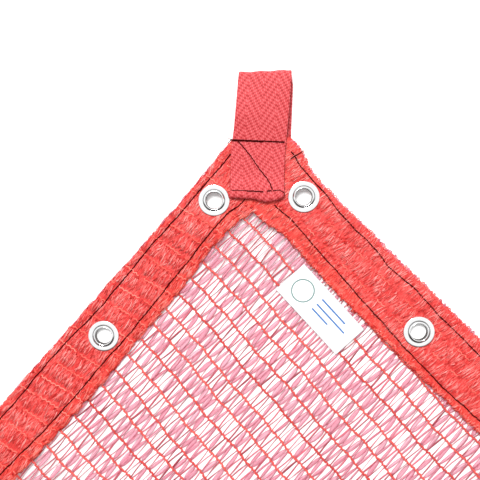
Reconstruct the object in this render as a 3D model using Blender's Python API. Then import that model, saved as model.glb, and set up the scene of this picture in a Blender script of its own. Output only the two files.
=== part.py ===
"""Hemmed shade cloth: an open knitted net with folded hems, twelve eyelets, four webbing corner loops and a label.

The cloth lies flat, face up, with one corner towards +Y. The origin is under its middle, on the surface
that it rests on. Run it with: blender --background --python part.py
"""

import math
import random

import bmesh
import bpy
from mathutils import Vector

MM = 0.001

# Driving sizes of the cloth, in metres.
SIDE = 328 * MM  # one side of the square, over the hems
PULL = 0.022  # share by which the cloth lies longer along Y and shorter along X than a true square
HEM_ACROSS = 37.5 * MM  # hem over the ends of the net's pillars
HEM_ALONG = 41.7 * MM  # hem beside the pillars, folded a little wider
HEM_THICK = 3.0 * MM
HEM_CROWN = 0.2 * MM  # how far the hem bulges between its two seams
NET_THICK = 1.2 * MM
NET_UNDER_HEM = 5.5 * MM  # how far the net runs on under the hem's inner edge
GAP = 0.3 * MM  # between pieces that touch

# Seams, as grooves in the hem's upper side.
SEAM_DEEP = 0.5 * MM
SEAM_HALF = 1.1 * MM

# Corners: the tip is trimmed off inside the loop's webbing, and the tail below lifts the cloth.
TIP_CUT = 12 * MM  # from the corner that the two edges would make
LIFT = 2.0 * MM
LIFT_FULL_TO = 68 * MM  # distance from the corner
LIFT_NONE_FROM = 112 * MM
FLARE_BEFORE = 2.4 * MM  # the hem spreads sideways where the webbing nips it, on one side
FLARE_AFTER = 9.5 * MM  # and on the other
FLARE_AT = 21 * MM
FLARE_SPREAD = 19 * MM

# Eyelets, pressed through the hem, each with a washer below.
HOLE_R = 5.3 * MM
BARREL_R = 5.9 * MM
FLANGE_R = 9.6 * MM
WASHER_R = 9.6 * MM
TURNED_R = 7.2 * MM
SEAT_LOW = 1.5 * MM  # underside of the pressed hem, above the surface
SEAT_HIGH = 2.9 * MM  # upper side of the pressed hem
SEAT_ROOM = 0.6 * MM  # around the flange and the washer
EYELET_STEPS = 16

# Webbing loops.
STRAP_WIDE = 32.2 * MM
STRAP_END_WIDE = 32.5 * MM  # where it is sewn flat
STRAP_THICK = 1.6 * MM
STRAP_LEAN = math.radians(5.6)  # each loop is sewn on a little askew
STRAP_ASIDE = 4.4 * MM  # and a little to one side of the corner
STRAP_TWIST = 2.7 * MM  # the lower tail lies this far aside of the upper one
STRAP_SKEW = 0.08  # the fold at the loop's end lies askew, one edge further out than the other
LOOP_REACH = 28.8 * MM  # past the corner that the two edges would make
STRAP_END = 50 * MM  # inwards from that corner
LOOP_HIGH = 8.4 * MM  # middle of the webbing's upper layer in the loop
FOLD_R = 0.95 * MM  # bend of the turned-under end

# Label, on the net against the inner edge of one hem.
LABEL_LONG = 55.5 * MM
LABEL_WIDE = 23.6 * MM
LABEL_THICK = 1.0 * MM
LABEL_FROM_CORNER = 84 * MM
LABEL_FROM_HEM = 2.0 * MM
LABEL_TURN = math.radians(-3.1)

# Openings cut through the net, at less than twice the pitch of the real knit.
WINDOW_COLUMNS = 10
WINDOW_ROWS = 20
PILLAR_WIDE = 2.6 * MM
LEG_WIDE = 1.7 * MM
NET_RIM = 7.5 * MM
LEG_SLANT = 2.6 * MM  # each leg leans this far, to alternate sides
NET_SKEW = 0.03  # the pillars drift off the hem by this share of their length
NET_JITTER = 0.5 * MM

RED = (0.80, 0.11, 0.10, 1)
PINK = (0.82, 0.20, 0.22, 1)
METAL = (0.85, 0.86, 0.88, 1)
WHITE = (0.88, 0.89, 0.90, 1)

HALF_X = SIDE / math.sqrt(2) * (1 - PULL)
HALF_Y = SIDE / math.sqrt(2) * (1 + PULL)
CORNERS = {
    "top": Vector((0, HALF_Y)),
    "left": Vector((-HALF_X, 0)),
    "bottom": Vector((0, -HALF_Y)),
    "right": Vector((HALF_X, 0)),
}
OUTWARD = {"top": 90, "left": 180, "bottom": 270, "right": 0}  # degrees from +X

# Each side runs anticlockwise from one corner to the next. All lengths here are in millimetres.
# seams: (distance in from the outer edge, distance out from the inner edge)
# eyelets: (distance from the first corner, distance in from the outer edge)
SIDES = {
    "upper_left": {
        "corners": ("top", "left"),
        "width": HEM_ACROSS,
        "seams": (4.6, 8.3),
        "eyelets": ((54.0, 14.8), (163.5, 19.3), (273.1, 13.4)),
    },
    "lower_left": {
        "corners": ("left", "bottom"),
        "width": HEM_ALONG,
        "seams": (6.7, 7.6),
        "eyelets": ((54.0, 14.8), (163.8, 23.0), (273.1, 13.4)),
    },
    "lower_right": {
        "corners": ("bottom", "right"),
        "width": HEM_ACROSS,
        "seams": (4.6, 8.3),
        "eyelets": ((54.0, 14.8), (163.5, 19.3), (273.1, 13.4)),
    },
    "upper_right": {
        "corners": ("right", "top"),
        "width": HEM_ALONG,
        "seams": (6.7, 7.6),
        "eyelets": ((54.0, 14.8), (163.8, 23.0), (273.1, 13.4)),
    },
}
SIDE_ORDER = tuple(SIDES)


def clear_scene():
    for obj in list(bpy.data.objects):
        bpy.data.objects.remove(obj)


def material(name, colour, roughness, metallic=0.0):
    made = bpy.data.materials.new(name)
    made.use_nodes = True
    shader = made.node_tree.nodes["Principled BSDF"]
    shader.inputs["Base Color"].default_value = colour
    shader.inputs["Roughness"].default_value = roughness
    shader.inputs["Metallic"].default_value = metallic
    return made


def object_from(name, points, faces, finish, smooth_under=40):
    """One named object from points and faces, with its faces turned outwards."""
    mesh = bpy.data.meshes.new(name)
    mesh.from_pydata([tuple(p) for p in points], [], faces)
    shape = bmesh.new()
    shape.from_mesh(mesh)
    bmesh.ops.recalc_face_normals(shape, faces=shape.faces)
    if shape.calc_volume(signed=True) < 0:
        bmesh.ops.reverse_faces(shape, faces=shape.faces)
    shape.to_mesh(mesh)
    shape.free()
    mesh.shade_smooth()
    mesh.set_sharp_from_angle(angle=math.radians(smooth_under))
    if finish is not None:
        mesh.materials.append(finish)
    obj = bpy.data.objects.new(name, mesh)
    bpy.context.scene.collection.objects.link(obj)
    return obj


def eased(x):
    """0 up to 1, with no slope at either end."""
    x = min(1.0, max(0.0, x))
    return x * x * (3 - 2 * x)


def lift(place):
    """How far the webbing's lower tails hold the cloth off the surface at a place on it."""
    nearest = min((place - corner).length for corner in CORNERS.values())
    return LIFT * eased((LIFT_NONE_FROM - nearest) / (LIFT_NONE_FROM - LIFT_FULL_TO))


def outward(corner, turned=0.0):
    """The direction out of a corner, and the direction to its left when looking that way."""
    heading = math.radians(OUTWARD[corner]) - turned
    out = Vector((math.cos(heading), math.sin(heading)))
    return out, Vector((-out.y, out.x))


class Side:
    """One side of the cloth, with s along its outer edge and t inwards from it."""

    def __init__(self, name):
        facts = SIDES[name]
        here = SIDE_ORDER.index(name)
        first, last = facts["corners"]
        self.name = name
        self.start = CORNERS[first]
        self.end = CORNERS[last]
        self.long = (self.end - self.start).length
        self.along = (self.end - self.start).normalized()
        self.inward = Vector((-self.along.y, self.along.x))
        self.start_spread = outward(first)[1] * FLARE_BEFORE
        self.end_spread = outward(last)[1] * -FLARE_AFTER
        self.width = facts["width"]
        self.seams = [d * MM for d in facts["seams"]]
        self.eyelets = [(s * MM, t * MM) for s, t in facts["eyelets"]]
        self.before = SIDES[SIDE_ORDER[here - 1]]["width"]
        self.after = SIDES[SIDE_ORDER[(here + 1) % len(SIDE_ORDER)]]["width"]
        self.start_angle = self.corner_angle(self.start)
        self.end_angle = self.corner_angle(self.end)

    @staticmethod
    def corner_angle(corner):
        """The angle between the two sides that meet at a corner."""
        other, this = (HALF_X, HALF_Y) if corner.x == 0 else (HALF_Y, HALF_X)
        return 2 * math.atan2(other, this)

    def at(self, s, t):
        return self.start + self.along * s + self.inward * t

    def inner_s(self, own, neighbour, angle):
        """How far along the side its inner line meets its neighbour's inner line."""
        return (neighbour + own * math.cos(angle)) / math.sin(angle)

    def mitre_slope(self, neighbour, angle):
        return self.inner_s(self.width, neighbour, angle) / self.width

    def reach(self, t, neighbour, angle):
        """How near a corner the hem comes at depth t: to the mitre, or to the trimmed tip."""
        mitre = t * self.mitre_slope(neighbour, angle) + GAP
        tip = (TIP_CUT - t * math.sin(angle / 2)) / math.cos(angle / 2)
        return max(mitre, tip)

    def span(self, t):
        low = self.reach(t, self.before, self.start_angle)
        return low, self.long - self.reach(t, self.after, self.end_angle)

    def edge_share(self, s, t):
        """1 on the outer edge, down to 0 at the inner edge and at the mitres."""
        from_start = s / self.mitre_slope(self.before, self.start_angle)
        from_end = (self.long - s) / self.mitre_slope(self.after, self.end_angle)
        depth = min(self.width, from_start, from_end)
        return max(0.0, 1 - t / depth) ** 1.5


def flare(side, s):
    """The sideways spread of the hem's outer edge beside the webbing at both ends."""
    near_start = math.exp(-((max(0.0, s - FLARE_AT) / FLARE_SPREAD) ** 2))
    near_end = math.exp(-((max(0.0, side.long - s - FLARE_AT) / FLARE_SPREAD) ** 2))
    return side.start_spread * near_start + side.end_spread * near_end


def pucker(s, long, phase):
    """The small waves that the outer seam draws into the edge, fading out at the corners."""
    waves = 0.8 * math.sin(2 * math.pi * s / (41 * MM) + phase)
    waves += 0.5 * math.sin(2 * math.pi * s / (19 * MM) + 2.1 * phase)
    near = min(s, long - s)
    return waves * MM * eased((near - 30 * MM) / (30 * MM))


def inner_wave(side, s, t, phase):
    """The slight waver of the hem's inner edge, which the mitres don't share."""
    near = min(s, side.long - s)
    fade = eased((near - 1.2 * side.width) / (20 * MM))
    return 0.5 * MM * math.sin(s / (11 * MM) + phase) * (t / side.width) ** 3 * fade


def hem_profile(width, seams):
    """The hem's section as (depth from the outer edge, height), from the outer fold round under it."""
    step = width - NET_UNDER_HEM - 2 * GAP
    under = NET_THICK + GAP
    outer_seam = seams[0]
    inner_seam = width - seams[1]
    groove = HEM_THICK - SEAM_DEEP
    return (
        (0.0, 1.5 * MM),
        (0.5 * MM, 0.4 * MM),
        (1.5 * MM, 0.0),
        (step, 0.0),
        (step, under),
        (width - 0.5 * MM, under),
        (width, 2.2 * MM),
        (width - 0.8 * MM, HEM_THICK),
        (inner_seam + SEAM_HALF, HEM_THICK),
        (inner_seam, groove),
        (inner_seam - SEAM_HALF, HEM_THICK),
        (width * 0.5, HEM_THICK + HEM_CROWN),
        (outer_seam + SEAM_HALF, HEM_THICK),
        (outer_seam, groove),
        (outer_seam - SEAM_HALF, HEM_THICK),
        (0.5 * MM, 2.6 * MM),
    )


def hem(side, finish, phase):
    """The folded strip along one side, with a seat and a hole pressed in for each eyelet."""
    stations = 26
    profile = hem_profile(side.width, side.seams)
    points = []
    for i in range(stations + 1):
        for t, z in profile:
            low, high = side.span(t)
            s = low + (high - low) * i / stations
            share = side.edge_share(s, t)
            shift = pucker(s, side.long, phase) * share
            shift += inner_wave(side, s, t, phase)
            place = side.at(s, t - shift) + flare(side, s) * share
            points.append((place.x, place.y, z + lift(place)))
    n = len(profile)
    faces = [
        (i * n + j, i * n + (j + 1) % n, (i + 1) * n + (j + 1) % n, (i + 1) * n + j)
        for i in range(stations)
        for j in range(n)
    ]
    faces.append(tuple(range(n)))
    faces.append(tuple(stations * n + j for j in range(n)))
    strip = object_from("hem_" + side.name, points, faces, finish)
    cut = strip.modifiers.new("eyelet_seats", "BOOLEAN")
    cut.operation = "DIFFERENCE"
    cut.solver = "EXACT"
    cut.object = seat_cutter(side)
    return strip


def lathe(profile, centre, base, steps):
    """Points and faces of a closed ring turned about an upright axis; profile holds (radius, height)."""
    n = len(profile)
    points = [
        (
            centre.x + r * math.cos(2 * math.pi * i / steps),
            centre.y + r * math.sin(2 * math.pi * i / steps),
            base + z,
        )
        for i in range(steps)
        for r, z in profile
    ]
    faces = [
        (
            i * n + j,
            i * n + (j + 1) % n,
            (i + 1) % steps * n + (j + 1) % n,
            (i + 1) % steps * n + j,
        )
        for i in range(steps)
        for j in range(n)
    ]
    return points, faces


def seat_cutter(side):
    """What the eyelets press out of one hem: a hole, a seat above it and a seat below it for each."""
    hole = BARREL_R + GAP
    seat = WASHER_R + SEAT_ROOM
    far = 8 * MM
    outline = (
        (seat, -far),
        (seat, SEAT_LOW),
        (hole, SEAT_LOW),
        (hole, SEAT_HIGH),
        (seat, SEAT_HIGH),
        (seat, far),
    )
    points, faces = [], []
    n = len(outline)
    for s, t in side.eyelets:
        centre = side.at(s, t)
        first = len(points)
        ring, ring_faces = lathe(outline, centre, lift(centre), EYELET_STEPS)
        points += ring
        # The last strip of each ring would close the outline through the axis: discs cap it instead.
        faces += [
            tuple(first + k for k in face)
            for number, face in enumerate(ring_faces)
            if number % n != n - 1
        ]
        faces.append(tuple(first + i * n for i in range(EYELET_STEPS)))
        faces.append(tuple(first + i * n + n - 1 for i in range(EYELET_STEPS)))
    cutter = object_from("cutter_" + side.name, points, faces, None)
    cutter.hide_render = True
    cutter.display_type = "WIRE"
    return cutter


def eyelet(name, centre, finish):
    """The flanged barrel: a flat flange with a rolled ring around the hole, turned out over the washer."""
    seated = SEAT_HIGH + GAP
    profile = (
        (HOLE_R, 0.3 * MM),
        (HOLE_R + 0.3 * MM, 0.0),
        (TURNED_R, 0.0),
        (TURNED_R, 0.4 * MM),
        (BARREL_R, 0.4 * MM),
        (BARREL_R, seated),
        (FLANGE_R, seated),
        (FLANGE_R - 0.5 * MM, 3.7 * MM),
        (HOLE_R + 1.2 * MM, 3.7 * MM),
        (HOLE_R + 0.6 * MM, 4.2 * MM),
        (HOLE_R, 3.9 * MM),
    )
    points, faces = lathe(profile, centre, lift(centre), EYELET_STEPS)
    return object_from(name, points, faces, finish)


def washer(name, centre, finish):
    inner = BARREL_R + GAP
    profile = (
        (inner, 0.7 * MM),
        (WASHER_R - 0.3 * MM, 0.7 * MM),
        (WASHER_R, SEAT_LOW - GAP),
        (inner, SEAT_LOW - GAP),
    )
    points, faces = lathe(profile, centre, lift(centre), EYELET_STEPS)
    return object_from(name, points, faces, finish)


def inner_corner(first, second, short_by):
    """Where the inner lines of two neighbouring hems meet, each moved outwards by short_by."""
    own = second.width - short_by
    neighbour = first.width - short_by
    s = second.inner_s(own, neighbour, second.start_angle)
    return second.at(s, own)


def net_outline(sides, short_by):
    """The net's four corners: where the pillars start and end on the first pillar, then on the last."""
    upper_left, lower_left, lower_right, upper_right = (sides[n] for n in SIDE_ORDER)
    return (
        inner_corner(upper_right, upper_left, short_by),
        inner_corner(lower_right, upper_right, short_by),
        inner_corner(upper_left, lower_left, short_by),
        inner_corner(lower_left, lower_right, short_by),
    )


def window_lines(count, long, bar):
    """Places of the edges of a row of windows with a bar between each two, and of the outer rim."""
    pitch = (long - 2 * NET_RIM + bar) / count
    lines = [0.0]
    for k in range(count):
        start = NET_RIM + k * pitch
        lines += [start, start + pitch - bar]
    return lines + [long]


def net(sides, finish):
    """The net in one piece: pillars, with legs across them that lean alternate ways, and a plain rim."""
    random.seed(3)
    first_start, first_end, last_start, last_end = net_outline(sides, NET_UNDER_HEM)
    long = (first_end - first_start).length
    wide = (last_start - first_start).length
    ups = window_lines(WINDOW_ROWS, long, LEG_WIDE)
    acrosses = window_lines(WINDOW_COLUMNS, wide, PILLAR_WIDE)
    columns = len(acrosses)
    top, low = [], []
    for i, u in enumerate(ups):
        for j, v in enumerate(acrosses):
            rim = i in (0, len(ups) - 1) or j in (0, columns - 1)
            slant = drift = 0.0
            if not rim:
                leg = (i - 1) // 2 + (0 if i % 2 else 1)
                side_of_window = 1 if j % 2 else -1
                inner_leg = 0 < leg < WINDOW_ROWS
                slant = LEG_SLANT * side_of_window * (1 if leg % 2 else -1) * inner_leg
                slant += random.uniform(-1, 1) * NET_JITTER
                drift = NET_SKEW * (u - long / 2) * math.sin(math.pi * v / wide)
                drift += random.uniform(-1, 1) * NET_JITTER
            a = (u + slant) / long
            b = (v + drift) / wide
            place = (first_start * (1 - a) + first_end * a) * (1 - b)
            place += (last_start * (1 - a) + last_end * a) * b
            z = lift(place)
            low.append((place.x, place.y, z))
            top.append((place.x, place.y, z + NET_THICK))
    count = len(top)

    def solid(i, j):
        return not (i % 2 and j % 2)

    faces = []
    for i in range(len(ups) - 1):
        for j in range(columns - 1):
            a, b = i * columns + j, i * columns + j + 1
            c, d = b + columns, a + columns
            if not solid(i, j):
                continue
            faces.append((a, b, c, d))
            faces.append((d + count, c + count, b + count, a + count))
            for (p, q), (di, dj) in (
                ((a, b), (-1, 0)),
                ((b, c), (0, 1)),
                ((c, d), (1, 0)),
                ((d, a), (0, -1)),
            ):
                m, n = i + di, j + dj
                outside = not (0 <= m < len(ups) - 1 and 0 <= n < columns - 1)
                if outside or not solid(m, n):
                    faces.append((p, q, q + count, p + count))
    return object_from("net", top + low, faces, finish)


def strap_path():
    """The webbing's middle line as (outwards from the corner, height), from its turned-under end."""
    on_hem = LIFT + HEM_THICK + HEM_CROWN + GAP + STRAP_THICK / 2
    over_fold = on_hem + 2 * FOLD_R
    fold_at = -STRAP_END + FOLD_R + STRAP_THICK / 2
    path = [(fold_at + 7 * MM, on_hem), (fold_at, on_hem)]
    for k in range(1, 4):
        turn = math.pi * k / 4
        out = fold_at - FOLD_R * math.sin(turn)
        path.append((out, on_hem + FOLD_R - FOLD_R * math.cos(turn)))
    path += [(fold_at, over_fold), (fold_at + 7.6 * MM, over_fold)]
    path += [(fold_at + 13 * MM, on_hem + 0.15 * MM), (-28 * MM, on_hem), (-16 * MM, on_hem)]
    path += [(-9 * MM, on_hem + 0.9 * MM), (0.0, LOOP_HIGH), (10 * MM, LOOP_HIGH + 0.3 * MM)]
    below = STRAP_THICK / 2
    bend = (LOOP_HIGH - below) / 2
    bend_at = LOOP_REACH - below - bend
    for k in range(7):
        turn = math.pi * k / 6
        path.append((bend_at + bend * math.sin(turn), below + bend + bend * math.cos(turn)))
    # The floor of the loop is one flat stretch that ends short of the cloth's trimmed tip.
    path += [(-8 * MM, below), (-STRAP_END + 1 * MM, below)]
    return path


def strap_width(out):
    """Full width: a little less in the loop than where it is sewn."""
    return STRAP_WIDE + (STRAP_END_WIDE - STRAP_WIDE) * eased((-12 * MM - out) / (36 * MM))


def loop(corner, finish):
    """One webbing loop: a flat band folded over the cloth's corner, with both tails sewn to it."""
    path = [Vector(p) for p in strap_path()]
    out, left = outward(corner, turned=STRAP_LEAN)
    fold_starts = max(range(len(path)), key=lambda k: path[k].y)
    below_steps = len(path) - 1 - fold_starts
    points = []
    for k, here in enumerate(path):
        ahead = path[min(k + 1, len(path) - 1)]
        behind = path[max(k - 1, 0)]
        run = (ahead - behind).normalized()
        thick = Vector((-run.y, run.x)) * (STRAP_THICK / 2)
        half = strap_width(here.x) / 2
        aside = STRAP_ASIDE + STRAP_TWIST * max(0, k - fold_starts) / below_steps
        skew = STRAP_SKEW * eased((here.x + 14 * MM) / (30 * MM))
        for across, layer in ((-half, -1), (half, -1), (half, 1), (-half, 1)):
            at = here + thick * layer
            place = CORNERS[corner] + out * (at.x - across * skew) + left * (across - aside)
            points.append((place.x, place.y, at.y))
    faces = [
        (k * 4 + j, k * 4 + (j + 1) % 4, (k + 1) * 4 + (j + 1) % 4, (k + 1) * 4 + j)
        for k in range(len(path) - 1)
        for j in range(4)
    ]
    faces.append((0, 1, 2, 3))
    last = (len(path) - 1) * 4
    faces.append((last, last + 1, last + 2, last + 3))
    return object_from("loop_" + corner, points, faces, finish)


def label(side, finish):
    """A small flat cloth label that lies on the net against the upper right hem, a little askew."""
    near = side.width + LABEL_FROM_HEM + GAP
    far = near + LABEL_WIDE
    middle_s = side.long - LABEL_FROM_CORNER - LABEL_LONG / 2
    points = []
    for z in (NET_THICK + GAP, NET_THICK + GAP + LABEL_THICK):
        for share, t in ((-0.5, near), (0.5, near), (0.5, far), (-0.5, far)):
            along = share * LABEL_LONG
            turned_s = middle_s + along * math.cos(LABEL_TURN) - (t - near) * math.sin(LABEL_TURN)
            turned_t = t + along * math.sin(LABEL_TURN)
            place = side.at(turned_s, turned_t)
            points.append((place.x, place.y, z + lift(place)))
    faces = [(0, 1, 2, 3), (4, 5, 6, 7)]
    faces += [(k, (k + 1) % 4, 4 + (k + 1) % 4, 4 + k) for k in range(4)]
    return object_from("label", points, faces, finish)


def main():
    clear_scene()
    cloth = material("cloth_red", RED, 0.75)
    mesh = material("net_red", PINK, 0.7)
    webbing = material("webbing_red", RED, 0.7)
    metal = material("eyelet_metal", METAL, 0.25, 1.0)
    white = material("label_white", WHITE, 0.8)
    sides = {name: Side(name) for name in SIDE_ORDER}
    net(sides, mesh)
    number = 0
    for k, side in enumerate(sides.values()):
        hem(side, cloth, phase=1.3 * k)
        for s, t in side.eyelets:
            number += 1
            eyelet(f"eyelet_{number:02d}", side.at(s, t), metal)
            washer(f"washer_{number:02d}", side.at(s, t), metal)
    for corner in CORNERS:
        loop(corner, webbing)
    label(sides["upper_right"], white)


main()
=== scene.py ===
"""Looks of a hemmed shade cloth: knitted tapes, folded hems, seams, webbing loops, eyelets and a label.

The cloth lies face up on the frame's solids, with one corner towards +Y. Lengths are in millimetres and
become metres when a mesh is made; only the lights' and the floor's are given in metres. On a side, s runs
along its outer edge and t runs inwards. In the net, a runs along its chains, from the upper left hem, and
b from chain to chain.
"""

import math

import bpy
import numpy as np
from mathutils import Matrix


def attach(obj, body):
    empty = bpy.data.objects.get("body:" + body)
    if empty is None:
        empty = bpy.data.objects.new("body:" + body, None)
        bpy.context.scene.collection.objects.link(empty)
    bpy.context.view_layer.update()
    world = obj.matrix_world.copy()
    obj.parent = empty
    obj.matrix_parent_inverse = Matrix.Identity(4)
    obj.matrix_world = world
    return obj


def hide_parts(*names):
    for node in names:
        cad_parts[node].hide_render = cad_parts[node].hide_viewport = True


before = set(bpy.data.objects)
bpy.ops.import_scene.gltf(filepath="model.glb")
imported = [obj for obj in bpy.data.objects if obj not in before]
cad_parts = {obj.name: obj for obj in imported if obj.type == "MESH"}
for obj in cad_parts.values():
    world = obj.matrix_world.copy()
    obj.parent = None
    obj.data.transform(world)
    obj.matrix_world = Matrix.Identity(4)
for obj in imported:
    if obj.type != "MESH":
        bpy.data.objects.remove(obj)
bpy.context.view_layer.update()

MM = 0.001
FLOOR_GLOW = 0.10

# Sizes that the solids share.
SIDE = 328
PULL = 0.022
HEM_ACROSS = 37.5
HEM_ALONG = 41.7
HEM_THICK = 3.0
PUCKER_SHARE = 0.18  # slack tapes bridge most of the puckers in the solid's edge
HEM_CROWN = 0.2
UNDER_HEM = 5.5
TIP_CUT = 12
MITRE_GAP = -0.35  # the two hems lap a little at the mitre
LIFT = 2.0
LIFT_FULL_TO = 68
LIFT_NONE_FROM = 112
FLARE_BEFORE = 2.4
FLARE_AFTER = 9.5
FLARE_AT = 21
FLARE_SPREAD = 19
HOLE_R = 5.3
BARREL_R = 5.9
TURNED_R = 7.2
FLANGE_R = 9.6
BORE_LOW_R = 4.95  # the barrel draws in a little at its lower end
SEAT_HIGH = 2.9
STRAP_WIDE = 32.6
STRAP_THICK = 1.6
STRAP_LEAN = math.radians(5.6)
STRAP_SKEW = 0.08
LOOP_REACH = 28.8
STRAP_END = 50
LOOP_HIGH = 8.4
FOLD_R = 0.95
STRAP_FLOOR = LIFT + HEM_THICK + HEM_CROWN + 0.3  # underside of the tail that is sewn on the hems
LABEL_LONG = 55.5
LABEL_WIDE = 23.6
LABEL_FROM_CORNER = 84
LABEL_FROM_HEM = 2.3
LABEL_LOW = 1.5
LABEL_SHEET = 0.28
LABEL_GRID = (57, 25)  # points along and across
LABEL_TURN = math.radians(-3.1)

# The webbing's middle, aside of the corner: (outwards from the corner, to the right).
STRAP_ASIDE = ((-50, 4.4), (-46, 4.35), (-32, 3.65), (-19, 3.3), (-8, 3.9), (10, 4.3), (28, 4.5))
STRAP_ASIDE_BELOW = ((-50, 7.1), (-9, 6.6), (20, 6.0), (28, 4.5))
STRAP_WIDTHS = ((-50, 32.9), (-19, 33.0), (-8, 32.4), (28, 31.9))
FINE_STRAP = (0.75, 0.34)  # step along, and between points across as a share of a yarn
PLAIN_STRAP = (1.6, 0.5)

# The webbing's herringbone.
WEAVE_COLUMN = 0.95  # one warp yarn
WEAVE_ROW = 6.1  # from float to float in one yarn: four picks
WEAVE_SLOPE = 1.6
WEAVE_FLOAT = 0.24
WEAVE_PICK = 0.24  # how strongly each pick pinches the floats
WEAVE_RELIEF = 0.22
WEAVE_BAND = 9.0
WEAVE_TURN = 0.6  # the slant turns here, right of the webbing's middle
WEAVE_START = 20 * WEAVE_COLUMN  # added to the place across, so that it stays positive

# The label's print.
LABEL_RING_AT = 12.0
LABEL_RING_R = 7.0
LABEL_RING_HALF = 0.45  # half the line's width
LABEL_BAR_HALF = 0.55
LABEL_BARS = ((17.0, 24.0, 45.0), (12.6, 24.0, 49.0), (8.6, 24.0, 38.0))  # middle, from, to
RING_COLOUR = (0.16, 0.25, 0.24, 1)
BAR_COLOUR = (0.05, 0.16, 0.42, 1)

# The knit.
CHAIN_PITCH = 12.6
CHAIN_FIRST = 48.4  # distance of the first free chain from the upper right edge, at the upper left hem
CHAIN_R = 0.66
STITCH = 3.0  # one stitch of a chain

HALF_X = SIDE / math.sqrt(2) * (1 - PULL)
HALF_Y = SIDE / math.sqrt(2) * (1 + PULL)
CORNERS = {
    "top": np.array([0.0, HALF_Y]),
    "left": np.array([-HALF_X, 0.0]),
    "bottom": np.array([0.0, -HALF_Y]),
    "right": np.array([HALF_X, 0.0]),
}
OUTWARD = {"top": 90, "left": 180, "bottom": 270, "right": 0}  # degrees from +X

# The hem that the chains cross, and the one that they run along, each measured from the cloth's upper or
# lower corner. seams: two lines of (distance from that corner, depth). edge: the inner edge, likewise.
# eyelets: (distance from the side's first corner, distance in from the outer edge).
ACROSS_HEM = {
    "width": HEM_ACROSS,
    "eyelets": ((54.0, 14.8), (163.5, 19.3), (273.1, 13.4)),
    "seams": (
        ((30, 5.0), (75, 4.5), (105, 4.2), (148, 6.0), (172, 5.0), (200, 3.8), (222, 5.3), (300, 4.6)),
        ((60, 28.5), (80, 29.3), (110, 29.5), (150, 31.0), (172, 30.1), (220, 30.8), (290, 28.8)),
    ),
    "edge": (
        *((55, 33.4), (80, 33.2), (95, 35.2), (125, 35.9)),
        *((150, 37.0), (180, 38.0), (230, 38.4), (275, 36.5)),
    ),
}
ALONG_HEM = {
    "width": HEM_ALONG,
    "eyelets": ((54.0, 14.8), (163.8, 23.0), (273.1, 13.4)),
    "seams": (
        (
            *((40, 4.4), (70, 4.5), (90, 5.4), (110, 5.6), (122, 7.3)),
            *((145, 6.0), (175, 7.3), (230, 7.0), (300, 5.5)),
        ),
        (
            *((50, 29.5), (70, 31.0), (100, 32.0), (125, 33.5)),
            *((160, 35.6), (200, 37.0), (240, 36.0), (290, 33.0)),
        ),
    ),
    "edge": ((50, 38.2), (70, 39.2), (85, 40.2), (105, 41.2), (150, 42.0), (230, 41.8), (275, 40.0)),
}

# Each side's first and last corner, and its hem.
SIDES = {
    "upper_left": (("top", "left"), ACROSS_HEM),
    "lower_left": (("left", "bottom"), ALONG_HEM),
    "lower_right": (("bottom", "right"), ACROSS_HEM),
    "upper_right": (("right", "top"), ALONG_HEM),
}
SIDE_ORDER = tuple(SIDES)
CHAINS_CROSS = ("upper_left", "lower_right")  # the hems that the chains cross, and don't run along


def eased(x):
    x = np.clip(x, 0, 1)
    return x * x * (3 - 2 * x)


def lift(place):
    """How far the webbing's lower tails hold the cloth off the floor; place is (..., 2)."""
    away = [np.linalg.norm(place - c, axis=-1) for c in CORNERS.values()]
    nearest = np.min(away, axis=0)
    return LIFT * eased((LIFT_NONE_FROM - nearest) / (LIFT_NONE_FROM - LIFT_FULL_TO))


def outward(corner, turned=0.0):
    heading = math.radians(OUTWARD[corner]) - turned
    out = np.array([math.cos(heading), math.sin(heading)])
    return out, np.array([-out[1], out[0]])


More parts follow.
